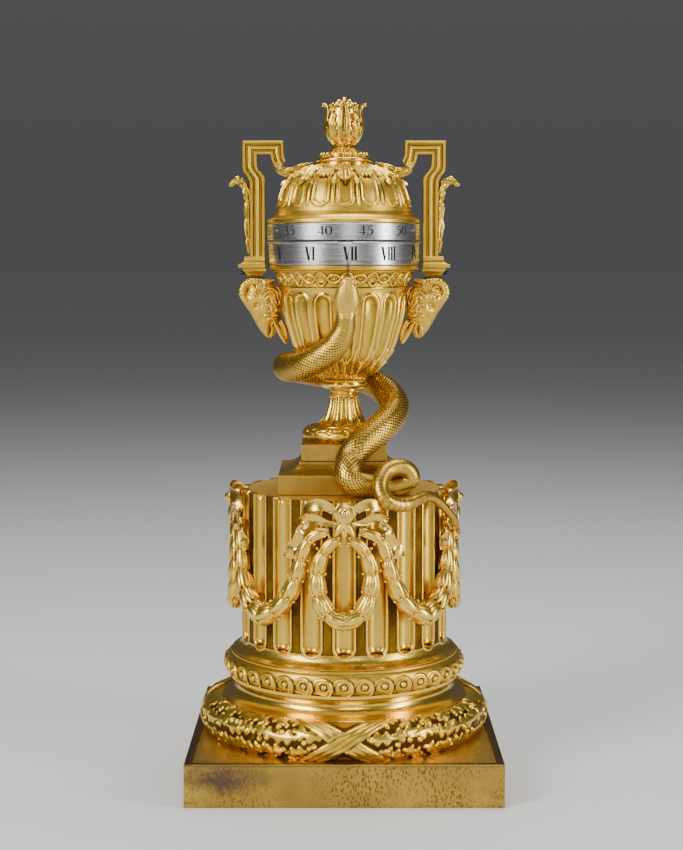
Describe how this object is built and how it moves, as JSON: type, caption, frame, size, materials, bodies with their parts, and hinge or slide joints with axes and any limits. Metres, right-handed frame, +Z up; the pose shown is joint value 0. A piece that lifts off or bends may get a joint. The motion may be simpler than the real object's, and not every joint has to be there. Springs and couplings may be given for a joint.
{
  "type": "urn clock with revolving dial rings",
  "caption": "Urn-shaped mantel clock whose revolving dial rings are read against a serpent's pointer, on a garlanded fluted column and a square plinth.",
  "frame": {"origin": "middle of the plinth's underside", "axes": "+Z up along the urn's axis, -Y towards the front, where the serpent's pointer reads the dial rings, +X to the viewer's right"},
  "size_m": [0.22, 0.22, 0.4933],
  "materials": {
    "gilt_bronze": "mercury-gilt cast bronze, chased, burnished on the high parts and matt in the grounds",
    "matt_gilt": "fine matt gilding",
    "plinth_gilt": "worn gilding with punch marks and a patch of brown tarnish",
    "lid_gilt": "gilt bronze with matt grounds and burnished leaves",
    "handle_gilt": "gilt bronze, darker matt borders and a burnished middle bar",
    "serpent_gilt": "gilt bronze with engraved scales",
    "silvered_brass": "silvered, brushed round the ring, with black numerals",
    "blued_steel": "polished and blued",
    "polished_steel": "polished",
    "movement_brass": "brushed brass"
  },
  "bodies": {
    "root": {"plinth": "plinth_gilt", "base_torus": "gilt_bronze", "base_scotia": "gilt_bronze", "wave_torus": "gilt_bronze", "column_foot": "gilt_bronze", "fluted_column": "gilt_bronze", "column_top_plate": "matt_gilt", "bow_front": "gilt_bronze", "bow_right": "gilt_bronze", "bow_back": "gilt_bronze", "bow_left": "gilt_bronze", "wreath_front": "gilt_bronze", "wreath_right": "gilt_bronze", "wreath_back": "gilt_bronze", "wreath_left": "gilt_bronze", "swag_front": "gilt_bronze", "swag_right": "gilt_bronze", "swag_back": "gilt_bronze", "swag_left": "gilt_bronze", "socle_block": "gilt_bronze", "socle_cap": "gilt_bronze", "laurel_ring": "gilt_bronze", "urn_foot": "gilt_bronze", "foot_collar": "gilt_bronze", "tie_rod": "polished_steel", "urn_bowl": "gilt_bronze", "bowl_frieze": "gilt_bronze", "ram_head_left": "gilt_bronze", "ram_head_right": "gilt_bronze", "bracket_left": "handle_gilt", "bracket_right": "handle_gilt", "serpent": "serpent_gilt", "pointer": "blued_steel", "lower_plate": "movement_brass", "upper_plate": "movement_brass"},
    "cover": {"lid": "lid_gilt", "finial": "lid_gilt", "handle_left": "handle_gilt", "handle_right": "handle_gilt"},
    "minute_dial": {"minute_ring": "silvered_brass", "minute_spider": "movement_brass", "cannon_pinion": "polished_steel", "centre_arbor": "polished_steel", "centre_pinion": "polished_steel", "centre_wheel": "movement_brass"},
    "hour_dial": {"hour_ring": "silvered_brass", "hour_spider": "movement_brass", "hour_wheel": "movement_brass"},
    "minute_wheel": {"minute_wheel": "movement_brass"},
    "barrel": {"barrel": "movement_brass", "mainspring": "polished_steel"},
    "winding_arbor": {"barrel_arbor": "polished_steel", "ratchet_wheel": "polished_steel"},
    "third_arbor": {"third_pinion": "polished_steel", "third_wheel": "movement_brass"},
    "escape_arbor": {"escape_pinion": "polished_steel", "escape_wheel": "movement_brass"},
    "pallets": {"pallets": "polished_steel"},
    "balance": {"balance": "movement_brass"}
  },
  "joints": [
    {"name": "cover_lift", "type": "slide", "parent": "root", "child": "cover", "axis": [0, 0, 1], "range_m": [0, 0.12]},
    {"name": "minute_dial_turn", "type": "hinge", "parent": "root", "child": "minute_dial", "pos_m": [0, 0, 0.34], "axis": [0, 0, 1], "continuous": true},
    {"name": "hour_dial_turn", "type": "hinge", "parent": "root", "child": "hour_dial", "pos_m": [0, 0, 0.34], "axis": [0, 0, 1], "continuous": true},
    {"name": "minute_wheel_turn", "type": "hinge", "parent": "root", "child": "minute_wheel", "pos_m": [0, 0.01132, 0.34], "axis": [0, 0, 1], "continuous": true},
    {"name": "barrel_turn", "type": "hinge", "parent": "root", "child": "barrel", "pos_m": [-0.01662, 0, 0.34], "axis": [0, 0, 1], "continuous": true},
    {"name": "winding_turn", "type": "hinge", "parent": "root", "child": "winding_arbor", "pos_m": [-0.01662, 0, 0.34], "axis": [0, 0, 1], "continuous": true},
    {"name": "third_arbor_turn", "type": "hinge", "parent": "root", "child": "third_arbor", "pos_m": [0.00706, 0.01223, 0.34], "axis": [0, 0, 1], "continuous": true},
    {"name": "escape_arbor_turn", "type": "hinge", "parent": "root", "child": "escape_arbor", "pos_m": [0.01798, 0.01223, 0.34], "axis": [0, 0, 1], "continuous": true},
    {"name": "pallets_rock", "type": "hinge", "parent": "root", "child": "pallets", "pos_m": [0.01798, 0.00303, 0.34], "axis": [0, 0, 1], "range_deg": [-2, 2]},
    {"name": "balance_swing", "type": "hinge", "parent": "root", "child": "balance", "pos_m": [0.017, -0.013, 0.34], "axis": [0, 0, 1], "range_deg": [-150, 150]}
  ],
  "couplings": [
    {"joint": "hour_dial_turn", "follows": "minute_dial_turn", "ratio": 0.083333},
    {"joint": "minute_wheel_turn", "follows": "minute_dial_turn", "ratio": -0.33333},
    {"joint": "barrel_turn", "follows": "minute_dial_turn", "ratio": -0.25},
    {"joint": "third_arbor_turn", "follows": "minute_dial_turn", "ratio": -6},
    {"joint": "escape_arbor_turn", "follows": "minute_dial_turn", "ratio": 30}
  ]
}
